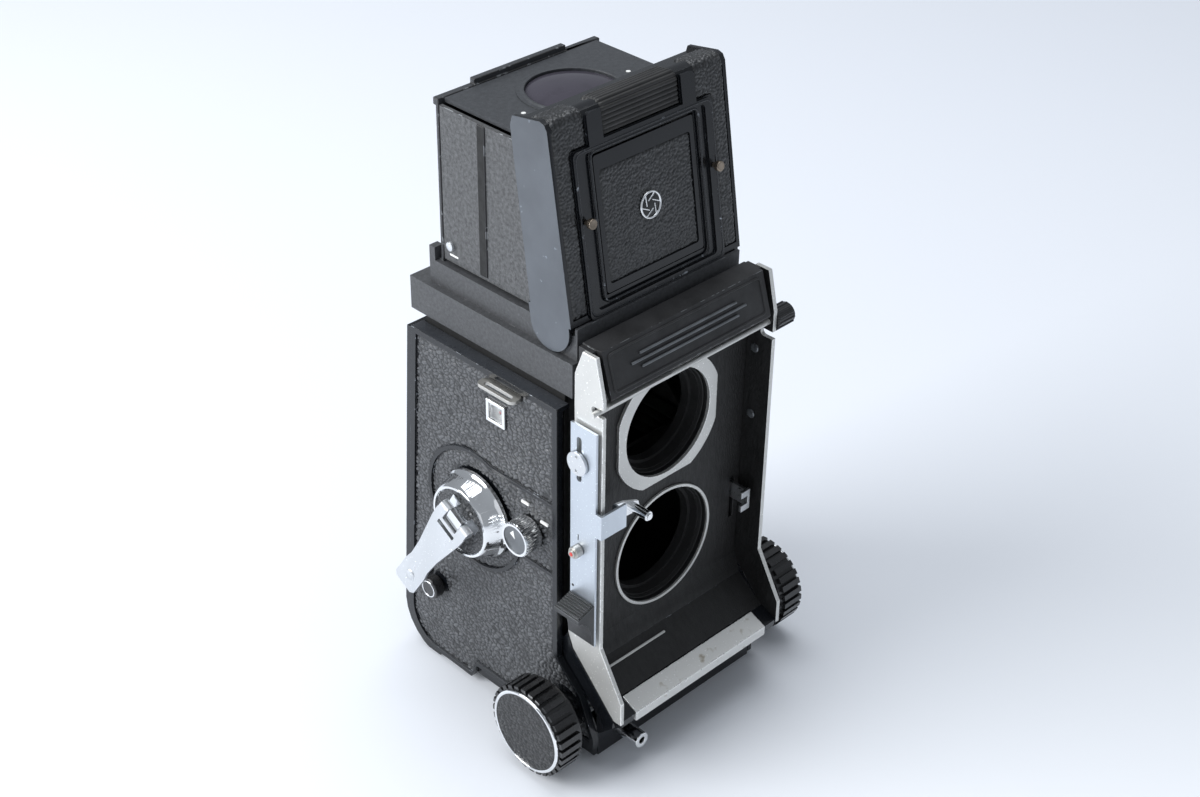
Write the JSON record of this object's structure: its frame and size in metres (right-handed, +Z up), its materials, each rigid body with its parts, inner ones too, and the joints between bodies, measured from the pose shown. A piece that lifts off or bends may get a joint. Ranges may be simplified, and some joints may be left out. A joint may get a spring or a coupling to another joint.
{
  "type": "twin lens reflex camera body",
  "caption": "Camera body with stacked viewing and taking lens openings, open waist-level hood, geared focusing front, folding crank and hinged film door.",
  "frame": {"origin": "centre of the tripod socket's mouth in the flat base", "axes": "+Z up, -Y the way the lenses face, +X the side away from the crank"},
  "size_m": [0.1232, 0.1085, 0.2301],
  "materials": {
    "black_casting": "matte black wrinkle paint on cast alloy",
    "black_enamel": "semi-gloss black enamel",
    "hood_paint": "fine-grained matte black paint on pressed sheet",
    "leatherette": "pebbled black leatherette",
    "standard_leather": "fine-grained black leatherette on sheet metal",
    "black_plastic": "moulded black plastic",
    "satin_silver": "satin silver finish",
    "slide_plate_steel": "satin plated steel",
    "bar_aluminium": "worn satin aluminium",
    "bright_chrome": "polished chrome plate",
    "steel": "turned steel",
    "brass": "tarnished brass",
    "mirror_glass": "front-surface mirror",
    "screen_glass": "ground glass",
    "lens_glass": "coated optical glass",
    "dial_white": "printed white dial",
    "pressure_black": "black anodised plate",
    "bellows_cloth": "black pleated bellows cloth"
  },
  "bodies": {
    "camera_body": {"light_box": "black_casting", "film_gate": "black_casting", "mirror_carrier": "black_casting", "reflex_mirror": "mirror_glass", "base_plate": "black_casting", "tripod_bush": "steel", "focusing_bed": "black_casting", "cable_socket": "bright_chrome", "side_cover_right": "black_enamel", "side_cover_left": "black_enamel", "side_leathers": "leatherette", "strap_lugs": "bright_chrome", "counter_frame": "bright_chrome", "counter_glass": "lens_glass", "accessory_shoe": "bright_chrome", "finder_base": "black_casting", "focusing_screen": "screen_glass", "hood_rear_wall": "hood_paint", "hood_cover": "black_enamel", "cover_leather": "leatherette", "ribbed_grip": "black_plastic", "finder_pins": "brass", "bellows": "bellows_cloth", "door_hinge_pin": "steel"},
    "counter_wheel": {"counter_dial": "dial_white"},
    "hood_side_right": {"hood_wall_right": "hood_paint"},
    "hood_side_left": {"hood_wall_left": "hood_paint"},
    "magnifier": {"magnifier_plate": "hood_paint", "magnifier_lens": "lens_glass"},
    "sports_flap": {"finder_flap": "black_enamel", "flap_leather": "leatherette"},
    "crank": {"crank_hub": "bright_chrome", "crank_gear": "brass"},
    "crank_handle": {"crank_arm": "bright_chrome", "crank_grip": "black_plastic"},
    "film_spool": {"take_up_spool": "black_plastic", "spool_gear": "brass"},
    "exposure_knob": {"multi_knob": "bright_chrome"},
    "stud_knob": {"pull_knob_right": "black_plastic"},
    "lower_spool_knob": {"pull_knob_lower": "black_plastic"},
    "upper_spool_knob": {"pull_knob_upper": "black_plastic"},
    "door": {"back_door": "black_enamel", "door_leather": "leatherette", "pressure_plate": "pressure_black"},
    "front_standard": {"standard_plate": "standard_leather", "cheek_right": "satin_silver", "cheek_left": "satin_silver", "standard_base": "black_casting", "lower_bar": "bar_aluminium", "viewing_ring": "satin_silver", "taking_ring": "satin_silver", "nameplate": "black_plastic", "guide_screw": "bright_chrome"},
    "release_slider": {"release_plate": "slide_plate_steel", "release_lever": "black_plastic"},
    "release_lock": {"lock_stud": "bright_chrome"},
    "cocking_lever": {"cocking_fork": "slide_plate_steel"},
    "retainer_bail": {"lens_retainer": "slide_plate_steel"},
    "focus_drive": {"focus_shaft": "steel", "focus_knobs": "black_plastic"}
  },
  "joints": [
    {"name": "focus_slide", "type": "slide", "parent": "camera_body", "child": "front_standard", "axis": [0, -1, 0], "range_m": [0, 0.055], "deforming": ["bellows"]},
    {"name": "focus_shaft_turn", "type": "hinge", "parent": "camera_body", "child": "focus_drive", "pos_m": [0, -0.0235, 0.0196], "axis": [1, 0, 0], "range_deg": [0, 526]},
    {"name": "release_press", "type": "slide", "parent": "front_standard", "child": "release_slider", "axis": [0, 0, -1], "range_m": [0, 0.006], "stiffness_N_per_m": 300, "springref_m": -0.002},
    {"name": "release_lock_turn", "type": "hinge", "parent": "release_slider", "child": "release_lock", "pos_m": [-0.042, -0.0288, 0.089], "axis": [1, 0, 0], "range_deg": [0, 90]},
    {"name": "cocking_press", "type": "slide", "parent": "front_standard", "child": "cocking_lever", "axis": [0, 0, -1], "range_m": [0, 0.008], "stiffness_N_per_m": 200, "springref_m": -0.002},
    {"name": "retainer_turn", "type": "hinge", "parent": "front_standard", "child": "retainer_bail", "pos_m": [0, -0.0344, 0.1432], "axis": [1, 0, 0], "range_deg": [0, 90]},
    {"name": "crank_turn", "type": "hinge", "parent": "camera_body", "child": "crank", "pos_m": [-0.043, 0.019, 0.079], "axis": [1, 0, 0], "range_deg": [0, 360]},
    {"name": "crank_fold", "type": "hinge", "parent": "crank", "child": "crank_handle", "pos_m": [-0.0546, 0.01645, 0.0833], "axis": [0, 0.8601, 0.5101], "range_deg": [-8, 150]},
    {"name": "spool_turn", "type": "hinge", "parent": "camera_body", "child": "film_spool", "pos_m": [0, 0.0385, 0.10806], "axis": [1, 0, 0], "range_deg": [-690, 0]},
    {"name": "counter_turn", "type": "hinge", "parent": "camera_body", "child": "counter_wheel", "pos_m": [-0.0396, 0.0092, 0.112], "axis": [1, 0, 0], "range_deg": [0, 30]},
    {"name": "exposure_knob_turn", "type": "hinge", "parent": "camera_body", "child": "exposure_knob", "pos_m": [-0.046, -0.007, 0.085], "axis": [1, 0, 0], "range_deg": [0, 60]},
    {"name": "stud_knob_pull", "type": "slide", "parent": "camera_body", "child": "stud_knob", "axis": [-1, 0, 0], "range_m": [0, 0.003]},
    {"name": "lower_spool_knob_pull", "type": "slide", "parent": "camera_body", "child": "lower_spool_knob", "axis": [1, 0, 0], "range_m": [0, 0.005]},
    {"name": "upper_spool_knob_pull", "type": "slide", "parent": "camera_body", "child": "upper_spool_knob", "axis": [1, 0, 0], "range_m": [0, 0.005]},
    {"name": "door_swing", "type": "hinge", "parent": "camera_body", "child": "door", "pos_m": [0, 0.0406, 0.0032], "axis": [-1, 0, 0], "range_deg": [0, 95]},
    {"name": "hood_right_fold", "type": "hinge", "parent": "camera_body", "child": "hood_side_right", "pos_m": [-0.0341, 0.018, 0.1646], "axis": [0, 1, 0], "range_deg": [0, 88]},
    {"name": "hood_left_fold", "type": "hinge", "parent": "camera_body", "child": "hood_side_left", "pos_m": [0.0341, 0.018, 0.1672], "axis": [0, -1, 0], "range_deg": [0, 84]},
    {"name": "magnifier_fold", "type": "hinge", "parent": "camera_body", "child": "magnifier", "pos_m": [0, -0.007, 0.2191], "axis": [1, 0, 0], "range_deg": [-90, 0]},
    {"name": "flap_swing", "type": "hinge", "parent": "camera_body", "child": "sports_flap", "pos_m": [0, -0.01168, 0.21407], "axis": [1, 0, 0], "range_deg": [0, 88]}
  ],
  "couplings": [
    {"joint": "focus_shaft_turn", "follows": "focus_slide", "rad_per_m": 166.67},
    {"joint": "spool_turn", "follows": "crank_turn", "ratio": -1.9167},
    {"joint": "counter_turn", "follows": "crank_turn", "ratio": 0.083333}
  ]
}
